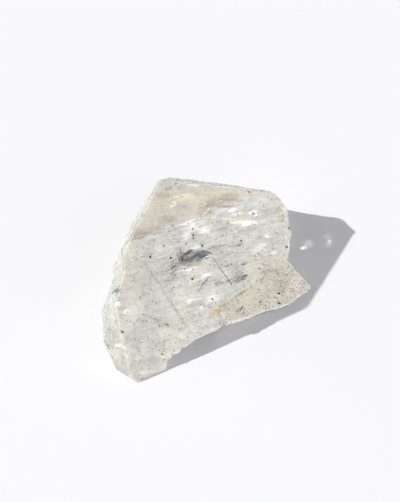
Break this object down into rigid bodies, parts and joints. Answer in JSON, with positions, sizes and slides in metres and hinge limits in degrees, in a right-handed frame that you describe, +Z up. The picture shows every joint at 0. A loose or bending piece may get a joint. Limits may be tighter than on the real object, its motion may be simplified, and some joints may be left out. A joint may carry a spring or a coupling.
{
  "type": "quartz crystal",
  "caption": "Stubby clear quartz crystal lying on its flat broken base, with terminal faces that meet at an apex, a low side crystal and shell-scooped broken sides.",
  "frame": {"origin": "middle of the stone's outline seen from above, on the flat base that it lies on", "axes": "+Z up from the base; +X from the apex side to the side crystal's tip; +Y from the undercut front to the steep back"},
  "size_m": [0.0552, 0.06, 0.0241],
  "materials": {
    "quartz": "clear to milky quartz, glassy, with frosted growth lines",
    "veil": "milky and blue-grey veils inside the stone",
    "dark_grains": null,
    "iron_stain": null,
    "green_mineral": null
  },
  "bodies": {
    "root": {"quartz_crystal": "quartz"}
  },
  "joints": []
}
